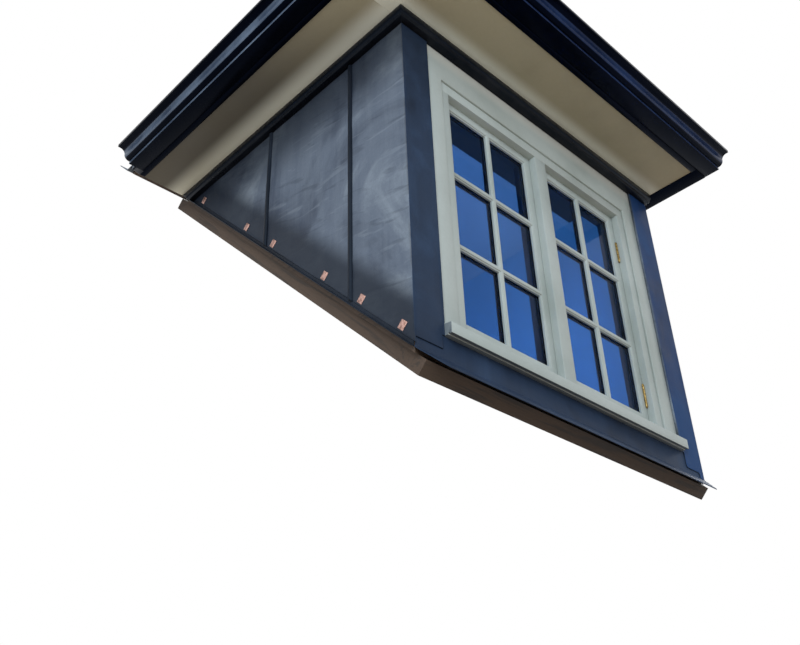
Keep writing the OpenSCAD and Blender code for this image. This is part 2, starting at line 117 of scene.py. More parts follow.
def add_mix(tree, amount, first, second):
    """Mixes two colours by an amount that is a number or a node's output."""
    mix = tree.nodes.new("ShaderNodeMix")
    mix.data_type = "RGBA"
    for socket, value in ((mix.inputs[0], amount), (mix.inputs[6], first), (mix.inputs[7], second)):
        if isinstance(value, bpy.types.NodeSocket):
            tree.links.new(value, socket)
        else:
            socket.default_value = value
    return mix.outputs[2]


def add_range(tree, value, low, high):
    """Stretches a noise's middle to run from low to high."""
    spread = tree.nodes.new("ShaderNodeMapRange")
    spread.inputs["From Min"].default_value = 0.3
    spread.inputs["From Max"].default_value = 0.7
    spread.inputs["To Min"].default_value = low
    spread.inputs["To Max"].default_value = high
    tree.links.new(value, spread.inputs["Value"])
    return spread.outputs["Result"]


def add_bump(tree, shader, height, depth, before=None):
    """Bumps the shader's normal by a height, at so many metres of depth."""
    bump = tree.nodes.new("ShaderNodeBump")
    bump.inputs["Strength"].default_value = 1.0
    bump.inputs["Distance"].default_value = depth
    tree.links.new(height, bump.inputs["Height"])
    if before is not None:
        tree.links.new(before, bump.inputs["Normal"])
    tree.links.new(bump.outputs["Normal"], shader.inputs["Normal"])
    return bump.outputs["Normal"]


def add_distance(tree, direction, near, far, strong=1.0):
    """Fades from strong to nothing between two distances along a direction from the origin."""
    place = tree.nodes.new("ShaderNodeTexCoord")
    along = tree.nodes.new("ShaderNodeVectorMath")
    along.operation = "DOT_PRODUCT"
    along.inputs[1].default_value = direction
    fade = tree.nodes.new("ShaderNodeMapRange")
    fade.interpolation_type = "SMOOTHSTEP"
    for socket, value in zip(fade.inputs[1:5], (near, far, strong, 0.0)):
        socket.default_value = value
    tree.links.new(place.outputs["Object"], along.inputs[0])
    tree.links.new(along.outputs["Value"], fade.inputs["Value"])
    return fade.outputs["Result"]


print("helpers for noise, ramp, mix, range, bump and distance are ready")

# %% [markdown]
# The window is painted joinery. Brushed paint is smooth with faint ridges that run along each
# member, so there are two finishes: one whose marks run level for rails and sills, and one whose
# marks run upright for stiles and jambs. Weather leaves a little grey in the film, so a broad noise
# shifts the cream slightly. Three of the fades copy light and not paint, because the studio's lamps
# are softer than the sky over a roof: the paler head of the casing, and the pale edge and the dark
# rear end of the soffits.

# %% Painted joinery
def add_fades(tree, colour, fades):
    """Fades a colour into others; each fade is (add_distance's values, colour)."""
    for distances, other in fades:
        colour = add_mix(tree, add_distance(tree, *distances), colour, other)
    return colour


def painted_wood(name, pale, dull, along, roughness=0.42, fades=()):
    """Brushed paint whose marks run along "x", "y" or "z"."""
    material, tree, shader = make_finish(name, roughness)
    film = add_noise(tree, (3.0, 3.0, 3.0), detail=3.0)
    colour = add_ramp(tree, film, [(0.30, dull), (0.62, pale)])
    speck = add_noise(tree, (70.0, 70.0, 70.0), detail=5.0, rough=0.65)
    dirt = tuple(c * 0.6 for c in dull[:3]) + (1.0,)
    colour = add_mix(tree, add_range(tree, speck, 0.0, 0.10), colour, dirt)
    tree.links.new(add_fades(tree, colour, fades), shader.inputs["Base Color"])
    tree.links.new(add_range(tree, film, roughness - 0.08, roughness + 0.10), shader.inputs["Roughness"])
    fine, long = 420.0, 14.0
    repeats = {"x": (long, fine, fine), "y": (fine, long, fine), "z": (fine, fine, long)}[along]
    marks = add_noise(tree, repeats, detail=3.0)
    first = add_bump(tree, shader, marks, 0.00018)
    waves = add_noise(tree, (22.0, 22.0, 22.0), detail=1.0)
    add_bump(tree, shader, waves, 0.0006, before=first)
    return material


cream, cream_dull = tint(188, 194, 189), tint(170, 177, 171)
joinery_level = painted_wood("joinery_level", cream, cream_dull, "x")
joinery_upright = painted_wood("joinery_upright", cream, cream_dull, "z")
UP, OUT_FRONT, OUT_LEFT = (0.0, 0.0, 1.0), (0.0, -1.0, 0.0), (-1.0, 0.0, 0.0)
CASING_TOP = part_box("casing")[1][2]
pale_head = ((UP, CASING_TOP - 0.045, CASING_TOP - 0.100, 1.0), tint(214, 212, 202))
casing_paint = painted_wood("casing_paint", cream, cream_dull, "x", fades=[pale_head])
# Under the sill this darker grey is painted shade, and the sill's ends take the same grey.
sill_underside_shade_and_ends = painted_wood("sill_underside_shade_and_ends", tint(132, 139, 142), tint(108, 114, 117), "x")
# Behind the glass the joinery is this dark grey, which is painted shade.
joinery_inside_shade = painted_wood("joinery_inside_shade", tint(62, 61, 57), tint(51, 50, 47), "z", 0.5)
soffit_cream, soffit_dull = tint(179, 169, 142), tint(164, 154, 128)
# The soffits are paler near the wall, which is painted light, and the left soffit is darker towards its
# rear end, which is painted shade.
soffit_painted_light, soffit_painted_shade = tint(248, 250, 238), tint(86, 80, 70)
soffit_front_paint = painted_wood("soffit_front_paint", soffit_cream, soffit_dull, "x", 0.6,
                                  [((OUT_FRONT, 0.095, 0.165, 1.0), soffit_painted_light)])
soffit_left_paint = painted_wood("soffit_left_paint", soffit_cream, soffit_dull, "y", 0.6,
                                 [((OUT_FRONT, -0.60, 0.15, 0.9), soffit_painted_shade),
                                  ((OUT_LEFT, 0.766, 0.848, 1.0), soffit_painted_light)])
print("painted finishes:", [m.name for m in (joinery_level, joinery_upright, soffit_front_paint)])

# %% [markdown]
# The mould, fascia and gutter are gloss black. A black gloss shows almost nothing but what it
# reflects, so most of the work is in its coat: a low roughness that a broad noise breaks up, and a
# film of dust that lifts the black a little where it lies. The blue specular tints, and the navy in
# the black and dust of the gutter finishes, are painted reflection of the sky. The steep faces and
# the lower fillet of the gutter's moulding are a blue-grey, paler at the left, which is painted
# reflection of the sky too.

# %% Black gloss
def black_gloss(name, along, dust, sheen, gloss, roughness=0.28, black=tint(8, 9, 15)):
    """Gloss black with a film of dust, brushed or drawn along an axis."""
    material, tree, shader = make_finish(name, roughness)
    shader.inputs["Specular IOR Level"].default_value = gloss
    shader.inputs["Specular Tint"].default_value = sheen
    film = add_noise(tree, (5.0, 5.0, 5.0), detail=6.0, rough=0.6)
    colour = add_ramp(tree, film, [(0.35, black), (0.75, dust)])
    tree.links.new(colour, shader.inputs["Base Color"])
    tree.links.new(add_range(tree, film, roughness - 0.06, roughness + 0.14), shader.inputs["Roughness"])
    fine, long = 260.0, 7.0
    repeats = {"x": (long, fine, fine), "y": (fine, long, fine)}[along]
    marks = add_noise(tree, repeats, detail=2.0)
    add_bump(tree, shader, marks, 0.00012)
    return material


# Blue tints for what the gloss mirrors: painted reflection of the sky.
CLEAR_SKY, LOW_SKY = (0.16, 0.34, 1.0, 1.0), (0.50, 0.70, 1.0, 1.0)
eaves_black_x = black_gloss("eaves_black_x", "x", tint(32, 33, 36), LOW_SKY, 0.16)
eaves_black_y = black_gloss("eaves_black_y", "y", tint(22, 24, 30), LOW_SKY, 0.16)
gutter_black_x = black_gloss("gutter_black_x", "x", tint(8, 12, 26), CLEAR_SKY, 0.06, 0.20,
                             tint(4, 6, 14))
gutter_black_y = black_gloss("gutter_black_y", "y", tint(7, 10, 20), CLEAR_SKY, 0.05, 0.20,
                             tint(4, 6, 13))
# The blue-grey of the moulding's steep faces and lower fillet is painted reflection of the sky.
gutter_sky_mirror_x = black_gloss("gutter_sky_mirror_x", "x", tint(36, 56, 96), CLEAR_SKY, 0.12, 0.24,
                             tint(20, 33, 62))
gutter_sky_mirror_y = black_gloss("gutter_sky_mirror_y", "y", tint(102, 117, 138), LOW_SKY, 0.24, 0.24,
                             tint(60, 73, 94))
print("black finishes:", eaves_black_x.name, gutter_black_x.name)

# %% [markdown]
# Sheet lead is a soft metal that goes blue-grey outdoors. Rain leaves pale and dark runs down it,
# and a cloudy bloom forms where it dries. Patina is not a mirror, so the sheen is broad, and its blue
# tint is painted reflection of the sky. The bloom and the runs are two noises. A fade by the distance
# off the rafters darkens the foot of a cheek, which is painted shade where it meets the roof. A
# second fade darkens the head, and copies the shade under the eaves. Two more noises, pale and dark
# and drawn out along the sheet at a slant, are painted highlight and painted shade on its creases.

# %% Sheet lead
OFF_THE_RAFTERS = (0.0, -math.sqrt(0.5), math.sqrt(0.5))


def sheet_lead(name, dark, mid, pale, run_axis, fades=(), crease_light_and_shade=()):
    """Weathered lead; runs of rain go down run_axis, "z" for a wall and "y" for a roof."""
    material, tree, shader = make_finish(name, 0.5)
    shader.inputs["IOR"].default_value = 1.2
    shader.inputs["Specular Tint"].default_value = (0.60, 0.78, 1.0, 1.0)
    bloom = add_noise(tree, (2.3, 2.3, 2.3), detail=6.0, rough=0.58, warp=0.8)
    colour = add_ramp(tree, bloom, [(0.34, dark), (0.50, mid), (0.66, pale)])
    across, down = 22.0, 1.6
    repeats = {"z": (across, across, down), "y": (across, down, across)}[run_axis]
    runs = add_noise(tree, repeats, detail=6.0, rough=0.6, warp=0.3)
    colour = add_mix(tree, add_range(tree, runs, 0.0, 0.28), colour, pale)
    grain = add_noise(tree, (180.0, 180.0, 180.0), detail=4.0, rough=0.7)
    colour = add_mix(tree, add_range(tree, grain, 0.0, 0.22), colour, dark)
    # Slanted streaks, pale and dark: painted highlight and painted shade on creases.
    for slant, painted_tone in crease_light_and_shade:
        crease_streak = add_noise(tree, (6.0, 5.0, 34.0), detail=2.0, rough=0.5, warp=0.9,
                          turn=(math.radians(slant), 0.0, 0.0))
        colour = add_mix(tree, add_range(tree, crease_streak, -0.75, 0.26), colour, painted_tone)
    tree.links.new(add_fades(tree, colour, fades), shader.inputs["Base Color"])
    tree.links.new(add_range(tree, bloom, 0.36, 0.58), shader.inputs["Roughness"])
    dents = add_noise(tree, (7.0, 7.0, 5.0), detail=1.5, rough=0.4)
    first = add_bump(tree, shader, dents, 0.005)
    add_bump(tree, shader, grain, 0.0003, before=first)
    return material


# Painted shade for the cheek's foot, its head under the eaves and its dark crease streaks; the pale of the
# bloom also serves as the painted highlight on the creases.
cheek_shade = tint(28, 34, 45)
bloom_and_highlight = tint(142, 151, 162)
cheek_lead = sheet_lead("cheek_lead", tint(64, 72, 88), tint(98, 107, 122), bloom_and_highlight, "z",
                        fades=[((OFF_THE_RAFTERS, 0.14, 0.225, 0.88), cheek_shade),
                               ((UP, 1.20, 0.97, 0.74), cheek_shade)],
                        crease_light_and_shade=[(8.0, bloom_and_highlight), (14.0, cheek_shade)])
# The front faces take darker, bluer copies of the lead, which are painted shade and painted sky reflection,
# and at the right a brighter blue that is painted reflection of a clear sky. The front lead darkens towards
# its head as painted shade under the eaves, and the rolls and soakers are darker as painted shade.
front_head_shade = [((UP, 1.30, 0.80, 0.55), tint(24, 29, 38))]
front_lead_shade = sheet_lead("front_lead_shade", tint(31, 41, 58), tint(42, 55, 76), tint(55, 71, 96), "z", front_head_shade)
right_lead_sky = sheet_lead("right_lead_sky", tint(22, 44, 80), tint(30, 58, 102), tint(42, 74, 120), "z")
roll_lead_shade = sheet_lead("roll_lead_shade", tint(20, 24, 32), tint(28, 33, 42), tint(38, 44, 54), "z")
roof_lead = sheet_lead("roof_lead", tint(66, 74, 88), tint(88, 96, 108), tint(122, 128, 134), "y")
print("lead finishes:", [m.name for m in (cheek_lead, front_lead_shade, right_lead_sky, roll_lead_shade, roof_lead)])

# %% [markdown]
# New copper clips are still salmon pink, with a brown tarnish that starts in patches. The hinges of
# the casements are brass, which tarnishes the same way.

# %% Copper and brass
copper, tree, shader = make_finish("copper_clip", 0.38, metallic=0.75)
tarnish = add_noise(tree, (90.0, 90.0, 90.0), detail=5.0, rough=0.6)
tree.links.new(add_ramp(tree, tarnish, [(0.38, tint(138, 104, 94)), (0.58, tint(194, 156, 146))]),
               shader.inputs["Base Color"])
tree.links.new(add_range(tree, tarnish, 0.30, 0.55), shader.inputs["Roughness"])
add_bump(tree, shader, tarnish, 0.0004)

brass, tree, shader = make_finish("hinge_brass", 0.34, metallic=0.8)
tarnish = add_noise(tree, (120.0, 120.0, 120.0), detail=5.0, rough=0.6)
tree.links.new(add_ramp(tree, tarnish, [(0.38, tint(120, 96, 52)), (0.60, tint(184, 154, 92))]),
               shader.inputs["Base Color"])
tree.links.new(add_range(tree, tarnish, 0.26, 0.50), shader.inputs["Roughness"])
add_bump(tree, shader, tarnish, 0.0002)
print("finishes:", copper.name, brass.name)

# %% [markdown]
# The carpentry is softwood. Its grain is a noise drawn out along the length of the timber, with
# darker lines where the summer wood is dense. A member's grain follows its own length, so there is
# one finish for each direction. Timber that the weather can reach, such as the boards under the
# lead and the rails on the rafters, is treated brown, and the rails have a grain up the slope.

# %% Softwood
def softwood(name, repeats, pale=tint(206, 172, 124), dark=tint(158, 116, 72), turn=(0.0, 0.0, 0.0)):
    """Sawn softwood with its grain along the axis with the fewest repeats."""
    material, tree, shader = make_finish(name, 0.72)
    fibre = add_noise(tree, repeats, detail=6.0, warp=0.8, turn=turn)
    late = tuple(0.92 * c for c in pale[:3]) + (1.0,)
    colour = add_ramp(tree, fibre, [(0.36, dark), (0.50, pale), (0.66, late)])
    patch = add_noise(tree, (4.0, 4.0, 4.0), detail=2.0)
    colour = add_mix(tree, add_range(tree, patch, 0.0, 0.30), colour, dark)
    tree.links.new(colour, shader.inputs["Base Color"])
    add_bump(tree, shader, fibre, 0.0008)
    return material


wood_x = softwood("softwood_x", (3.0, 60.0, 60.0))
wood_y = softwood("softwood_y", (60.0, 3.0, 60.0))
wood_z = softwood("softwood_z", (60.0, 60.0, 3.0))
treated = (tint(78, 60, 46), tint(52, 40, 31))
treated_x = softwood("treated_x", (3.0, 60.0, 60.0), *treated)
treated_y = softwood("treated_y", (60.0, 3.0, 60.0), *treated)
treated_slope = softwood("treated_slope", (60.0, 3.0, 60.0), *treated, turn=(math.radians(45), 0.0, 0.0))
print("softwood finishes:", [m.name for m in (wood_x, wood_y, wood_z, treated_x, treated_y, treated_slope)])

# %% [markdown]
# Inside, the cheeks and the ceiling are skimmed with plaster. The ceiling is rolled with white
# emulsion and the cheeks with a pale blue one. Both are guesses from what shows through the glass.
# A strip of the ceiling along the window is as dark as its head, which is painted shade for the dark
# band at the top of the upper panes. A roller leaves a fine pebbled film, which is a dense noise at a
# very small depth.

# %% Plaster
def rolled_plaster(name, dull, pale, fades=()):
    """Skimmed plaster under rolled emulsion."""
    material, tree, shader = make_finish(name, 0.85)
    cloud = add_noise(tree, (2.0, 2.0, 2.0), detail=3.0)
    colour = add_ramp(tree, cloud, [(0.3, dull), (0.7, pale)])
    tree.links.new(add_fades(tree, colour, fades), shader.inputs["Base Color"])
    pebble = add_noise(tree, (320.0, 320.0, 320.0), detail=3.0)
    add_bump(tree, shader, pebble, 0.0003)
    return material


# The dark strip along the window's head is painted shade.
painted_tone, INWARD = tint(40, 34, 30), (0.0, 1.0, 0.0)
ceiling_white = rolled_plaster("ceiling_white", tint(218, 216, 211), tint(230, 228, 223),
                               [((INWARD, 0.250, 0.256, 0.92), painted_tone)])
wall_blue = rolled_plaster("wall_blue", tint(172, 208, 216), tint(184, 220, 227))
print("plaster finishes:", ceiling_white.name, wall_blue.name)

# %% [markdown]
# A solid comes in as loose triangles. A copy can be merged and cleaned back to whole faces, and
# then its long arrises can be rounded with a small bevel, as a plane, a coat of paint or a lead
# dresser would leave them. Rounded edges catch the light, and that alone takes away most of the
# computer look. The copy stands in its solid's place, and the solid is hidden.

# %% Soften the edges of a solid
def dressed_copy(node):
    """A merged copy of a solid's mesh as a bmesh, with its flat faces made whole."""
    mesh = bmesh.new()
    mesh.from_mesh(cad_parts[node].data)
    bmesh.ops.remove_doubles(mesh, verts=mesh.verts, dist=1e-5)
    bmesh.ops.dissolve_limit(mesh, angle_limit=math.radians(1.0), verts=mesh.verts, edges=mesh.edges)
    bmesh.ops.recalc_face_normals(mesh, faces=mesh.faces)
    return mesh


def hand_over(mesh, name, material, nodes=(), smooth_angle=35.0):
    """Turns a bmesh into a finished piece of the dormer."""
    data = bpy.data.meshes.new(name)
    mesh.to_mesh(data)
    mesh.free()
    piece = bpy.data.objects.new(name, data)
    bpy.context.scene.collection.objects.link(piece)
    data.materials.append(material)
    for polygon in data.polygons:
        polygon.use_smooth = True
    data.set_sharp_from_angle(angle=math.radians(smooth_angle))
    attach(piece, "root")
    if nodes:
        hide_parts(*nodes)
    return piece


def sharp_edges(mesh, angle):
    """Edges whose faces meet more sharply than an angle in degrees."""
    return [e for e in mesh.edges if len(e.link_faces) == 2
            and e.calc_face_angle(0.0) > math.radians(angle)]


def soften(node, material, radius, steps=2, angle=40.0):
    """Stands a copy of a solid with rounded arrises in its place."""
    mesh = dressed_copy(node)
    bmesh.ops.bevel(mesh, geom=sharp_edges(mesh, angle), offset=radius, offset_type="OFFSET",
                    segments=steps, profile=0.5, affect="EDGES", clamp_overlap=True, material=-1)
    return hand_over(mesh, node + "_dressed", material, [node])


print("cheek boards have", len(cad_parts["cheek_boards_left"].data.polygons), "triangles as they come")

# %% [markdown]
# The joinery gets an arris of a little over a millimetre, which is what sandpaper and three coats
# of paint leave. Level members and upright ones take the paint whose brush marks run their way.
# Behind the glass the window is a dark grey, which is painted shade for its unlit inside, read from
# the dark line that shows through the glass behind every rail and bar. Indoors the window is stained
# dark, which is a guess from the dark line that shows through the glass behind every rail and bar. A
# face picks its finish by where it lies or looks: behind the glass it takes that painted shade, and
# under the sill and at its ends the paint is a darker grey, which under the sill is painted shade.

# %% Window joinery
BEHIND_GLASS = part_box("panes_left")[1][1] - 0.002
JOINERY_ARRIS, SASH_ARRIS = 0.0015, 0.0012


def second_finish(piece, material, chosen):
    """Gives a further finish to those faces of a piece for which chosen(face) is true."""
    piece.data.materials.append(material)
    index = len(piece.data.materials) - 1
    for polygon in piece.data.polygons:
        if chosen(polygon):
            polygon.material_index = index


def behind_glass(face):
    return face.center.y > BEHIND_GLASS


sill = soften("sill", joinery_level, JOINERY_ARRIS)
# The underside and the ends of the sill take the darker grey; under the sill it is painted shade.
second_finish(sill, sill_underside_shade_and_ends, lambda face: face.normal.z < -0.7 or abs(face.normal.x) > 0.7)
soften("casing", casing_paint, JOINERY_ARRIS)
head = soften("frame_head", joinery_level, JOINERY_ARRIS)
second_finish(head, joinery_inside_shade, behind_glass)
for node in ("frame_jamb_left", "frame_jamb_right", "mullion"):
    upright = soften(node, joinery_upright, JOINERY_ARRIS)
    second_finish(upright, joinery_inside_shade, behind_glass)
for node in ("sash_left", "sash_right"):
    sash = soften(node, joinery_upright, SASH_ARRIS)
    second_finish(sash, joinery_inside_shade, behind_glass)
print("joinery is dressed, and stained behind y", round(BEHIND_GLASS, 3))

# %% [markdown]
# Soffit boards, fascias, mould and verge board are painted timber too, with rather more of a
# rounded arris on the black trim, because it has had more coats.

# %% Eaves and trim
soften("soffit_front", soffit_front_paint, 0.001)
soften("soffit_left", soffit_left_paint, 0.001)
BOARD_ARRIS = 0.002
soften("fascia_front", gutter_black_x, BOARD_ARRIS)
soften("fascia_left", gutter_black_y, BOARD_ARRIS)
soften("verge_board", gutter_black_y, BOARD_ARRIS)
soften("bed_mould_front", eaves_black_x, 0.0012, angle=50)
soften("bed_mould_left", eaves_black_y, 0.0012, angle=50)
GUTTER_ARRIS = 0.0008
FILLET_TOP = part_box("gutter_left")[0][2] + 0.028


def mirrors_sky(face, outward):
    """True on the moulding's steep faces and on its lower fillet; outward is the normal's part out."""
    steep = -0.62 < face.normal.z < -0.04
    fillet = outward > 0.99 and face.center.z < FILLET_TOP
    return outward > 0 and (steep or fillet)


# The faces that mirrors_sky picks take the painted reflection of the sky.
gutter_front = soften("gutter_front", gutter_black_x, GUTTER_ARRIS, angle=50)
second_finish(gutter_front, gutter_sky_mirror_x, lambda face: mirrors_sky(face, -face.normal.y))
gutter_left = soften("gutter_left", gutter_black_y, GUTTER_ARRIS, angle=50)
second_finish(gutter_left, gutter_sky_mirror_y, lambda face: mirrors_sky(face, -face.normal.x))
print("eaves are dressed")

# %% [markdown]
# Lead is dressed over its edges, never cut to a sharp arris, so the sheets are rounded by about
# half their thickness. A sheet never lies quite flat either: the wooden dresser leaves shallow
# hollows, and a sheet that was bent while it was carried keeps a crease. Each sheet is cut into a
# grid by planes, and then every point that lies within a flat face moves in or out by a noise, and
# by a ridge where it is close to a crease. Points on the edges stay, so the sheets still meet.

# %% Beaten sheets
GRID_STEP = 0.009
LEAD_ARRIS = 0.0012
HOLLOW_DEPTH = 0.0024
DEEPEST, HIGHEST = -0.0022, 0.0042
CREASES = [((0.033, 0.461), (0.165, 0.471), 0.0040), ((0.099, 0.417), (0.197, 0.436), 0.0030),
           ((0.003, 0.330), (0.100, 0.338), 0.0030), ((0.293, 0.592), (0.394, 0.612), 0.0036),
           ((0.420, 0.700), (0.560, 0.752), 0.0026)]
CREASE_WIDTH = 0.010


def cut_grid(mesh, axes):
    """Cuts a sheet by planes across each of the axes given."""
    for axis in axes:
        low = min(v.co[axis] for v in mesh.verts)
        high = max(v.co[axis] for v in mesh.verts)
        normal = Vector([1.0 if k == axis else 0.0 for k in range(3)])
        for step in range(math.ceil(low / GRID_STEP), math.floor(high / GRID_STEP) + 1):
            bmesh.ops.bisect_plane(mesh, geom=mesh.verts[:] + mesh.edges[:] + mesh.faces[:], dist=1e-6,
                                   plane_co=normal * step * GRID_STEP, plane_no=normal)


def crease_height(y, z):
    """Height of the creases of a cheek at a point of it."""
    height = 0.0
    here = Vector((y, z))
    for first, last, depth in CREASES:
        start, run = Vector(first), Vector(last) - Vector(first)
        share = min(max((here - start).dot(run) / run.length_squared, 0.0), 1.0)
        away = (here - start - share * run).length
        taper = math.sin(math.pi * min(max(share, 0.05), 0.95))
        height += depth * math.exp(-(away / CREASE_WIDTH) ** 2) * taper
    return height


def beaten_sheet(node, axes, side, finish, shade=None):
    """Stands a hollowed and creased copy of lead sheets in their place; side is -1 at the left."""
    mesh = dressed_copy(node)
    bmesh.ops.bevel(mesh, geom=sharp_edges(mesh, 40.0), offset=LEAD_ARRIS, offset_type="OFFSET",
                    segments=2, profile=0.5, affect="EDGES", clamp_overlap=True, material=-1)
    cut_grid(mesh, axes)
    mesh.normal_update()
    moves = []
    for vert in mesh.verts:
        outside = vert.normal.x * side > 0.9 or vert.normal.y < -0.9
        if outside and all(face.normal.dot(vert.normal) > 0.999 for face in vert.link_faces):
            wave = noise.noise(vert.co * 5.5) + 0.45 * noise.noise(vert.co * 14.0)
            push = HOLLOW_DEPTH * wave - 0.0004
            if abs(vert.normal.x) > 0.9:
                push += crease_height(vert.co.y, vert.co.z)
            moves.append((vert, vert.normal * min(max(push, DEEPEST), HIGHEST)))
    for vert, move in moves:
        vert.co += move
    bmesh.ops.recalc_face_normals(mesh, faces=mesh.faces)
    piece = hand_over(mesh, node + "_dressed", finish, [node])
    if shade is not None:
        piece.data.materials.append(shade)
        for polygon in piece.data.polygons:
            if polygon.normal.y < -0.5:
                polygon.material_index = 1
    return piece


# The corners' front faces take the front finishes: painted shade and sky reflection at the left, and
# painted reflection of a clear sky at the right.
for side, end, shade in ((-1, "left", front_lead_shade), (1, "right", right_lead_sky)):
    beaten_sheet("lead_corner_" + end, (0, 1, 2), side, cheek_lead, shade)
    beaten_sheet("lead_bays_" + end, (1, 2), side, cheek_lead)
soften("lead_apron", front_lead_shade, LEAD_ARRIS)
for node in ("lead_rolls", "soakers"):
    soften(node, roll_lead_shade, LEAD_ARRIS)
soften("lead_roof", roof_lead, LEAD_ARRIS)
soften("copper_clips", copper, 0.0006)
print("lead is dressed")

# %% [markdown]
# Carpentry that shows only from inside or below keeps its solids, with the grain of each timber
# along its own length.

# %% Carpentry and plaster
def finish_solid(node, material):
    """Gives a solid its finish."""
    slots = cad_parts[node].data.materials
    slots.clear()
    slots.append(material)


for node in ("seat_front", "seat_back", "under_sill_wall", "front_boards", "lintel"):
    finish_solid(node, treated_x)
finish_solid("roof_joists", wood_x)
for node in ("cheek_boards_left", "cheek_boards_right", "roof_deck"):
    finish_solid(node, treated_y)
finish_solid("lookouts", wood_y)
for node in ("corner_post_left", "corner_post_right"):
    finish_solid(node, wood_z)
for node in ("seat_left", "seat_right"):
    finish_solid(node, treated_slope)
for node in ("cheek_wall_left", "cheek_wall_right"):
    finish_solid(node, wall_blue)
finish_solid("ceiling", ceiling_white)
print("carpentry and plaster are finished")

# %% [markdown]
# The panes are slim sealed units: an outer sheet, a black spacer all round the edge, and an inner
# sheet. The glass is seen through, and its two sheets tint what is behind them blue twice over, as
# painted reflection of the sky.
# At a slant the spacer and the backs of the bars show as dark lines at one side and the top of each
# pane. Building the layers gives that from every side. The index is lower than that of real glass,
# because real glass would mirror the white studio as a veil, and the mirrored light is blue too.
# The blue stands for the sky that such a pane mirrors outdoors.

# %% Glass finishes
def sky_tinted_sheet(name, index, thin, deep):
    """Glass that is seen through, tinted blue as painted reflection of the sky; the tint drifts a little
    between two strengths.
    """
    material, tree, shader = make_finish(name, 0.0)
    shader.inputs["Transmission Weight"].default_value = 1.0
    shader.inputs["IOR"].default_value = index
    shader.inputs["Specular Tint"].default_value = (0.14, 0.34, 1.0, 1.0)
    painted_tone = add_noise(tree, (1.6, 1.6, 1.1), detail=1.0)
    tree.links.new(add_ramp(tree, painted_tone, [(0.3, deep), (0.7, thin)]), shader.inputs["Base Color"])
    ripple = add_noise(tree, (3.0, 3.0, 3.0), detail=0.0)
    add_bump(tree, shader, ripple, 0.0006)
    return material


# The blue of both sheets is painted reflection of the sky.
THIN_SKY_TINT, DEEP_SKY_TINT = (0.25, 0.43, 0.75, 1.0), (0.21, 0.38, 0.69, 1.0)
outer_glass = sky_tinted_sheet("outer_glass", 1.12, THIN_SKY_TINT, DEEP_SKY_TINT)
inner_glass = sky_tinted_sheet("inner_glass", 1.05, THIN_SKY_TINT, DEEP_SKY_TINT)
spacer_black, tree, shader = make_finish("spacer_black", 0.45)
dust = add_noise(tree, (150.0, 150.0, 150.0), detail=3.0)
tree.links.new(add_ramp(tree, dust, [(0.3, tint(20, 22, 26)), (0.7, tint(32, 35, 40))]),
               shader.inputs["Base Color"])
print("glass finishes are ready")

# %% [markdown]
# Each pane is found from its solid, which is one block for every pane. A box cut from the block's
# front makes the outer sheet, one from its back the inner sheet, and four bars round the edge
# between them make the spacer.

# %% Sealed panes
SHEET = 0.004
SPACER_WIDTH = 0.0072


def pane_boxes(node):
    """The lowest and highest corners of every block in a node."""
    mesh = dressed_copy(node)
    found = []
    left = set(mesh.verts)
    while left:
        group, edge = set(), [left.pop()]
        while edge:
            vert = edge.pop()
            group.add(vert)
            for e in vert.link_edges:
                other = e.other_vert(vert)
                if other in left:
                    left.discard(other)
                    edge.append(other)
        low = Vector(min(v.co[k] for v in group) for k in range(3))
        high = Vector(max(v.co[k] for v in group) for k in range(3))
        found.append((low, high))
    mesh.free()
    return found


def add_box(mesh, low, high):
    """Adds a box to a bmesh by its corners and gives back its vertices."""
    size = high - low
    place = Matrix.Translation((low + high) / 2) @ Matrix.Diagonal((*size, 1.0))
    return bmesh.ops.create_cube(mesh, size=1.0, matrix=place)["verts"]


def add_spacer(mesh, low, high):
    """Adds four bars round the inside of a box: two upright, and two level between them."""
    for x in (low.x, high.x - SPACER_WIDTH):
        add_box(mesh, Vector((x, low.y, low.z)), Vector((x + SPACER_WIDTH, high.y, high.z)))
    for z in (low.z, high.z - SPACER_WIDTH):
        add_box(mesh, Vector((low.x + SPACER_WIDTH, low.y, z)),
                Vector((high.x - SPACER_WIDTH, high.y, z + SPACER_WIDTH)))


def glaze(node):
    """Builds the sheets and spacers of one sash and stands them for its blocks."""
    outer, inner, spacer = bmesh.new(), bmesh.new(), bmesh.new()
    boxes = pane_boxes(node)
    for low, high in boxes:
        add_box(outer, low, Vector((high.x, low.y + SHEET, high.z)))
        add_box(inner, Vector((low.x, high.y - SHEET, low.z)), high)
        add_spacer(spacer, Vector((low.x, low.y + SHEET, low.z)), Vector((high.x, high.y - SHEET, high.z)))
    bmesh.ops.recalc_face_normals(spacer, faces=spacer.faces)
    hand_over(outer, node + "_outer_glass", outer_glass, [node])
    hand_over(spacer, node + "_spacers", spacer_black, [node])
    hand_over(inner, node + "_inner_glass", inner_glass, [node])
    return boxes


for node in ("panes_left", "panes_right"):
    print(node, "has", len(glaze(node)), "panes")

# %% [markdown]
# Each casement hangs on two brass butt hinges. When it is shut, only the knuckle of a hinge shows,
# in the corner between the stile and the jamb: five short barrels on one pin, with a small ball at
# each end. A barrel is a circle that is extruded and rounded.

# %% Hinges
HINGE_LONG, BARRELS, BARREL_GAP = 0.090, 5, 0.0006
KNUCKLE_RADIUS = 0.0042
HINGE_HEIGHTS = (0.300, 0.935)
SASH_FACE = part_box("sash_right")[0][1]
JAMB_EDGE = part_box("frame_jamb_right")[0][0]


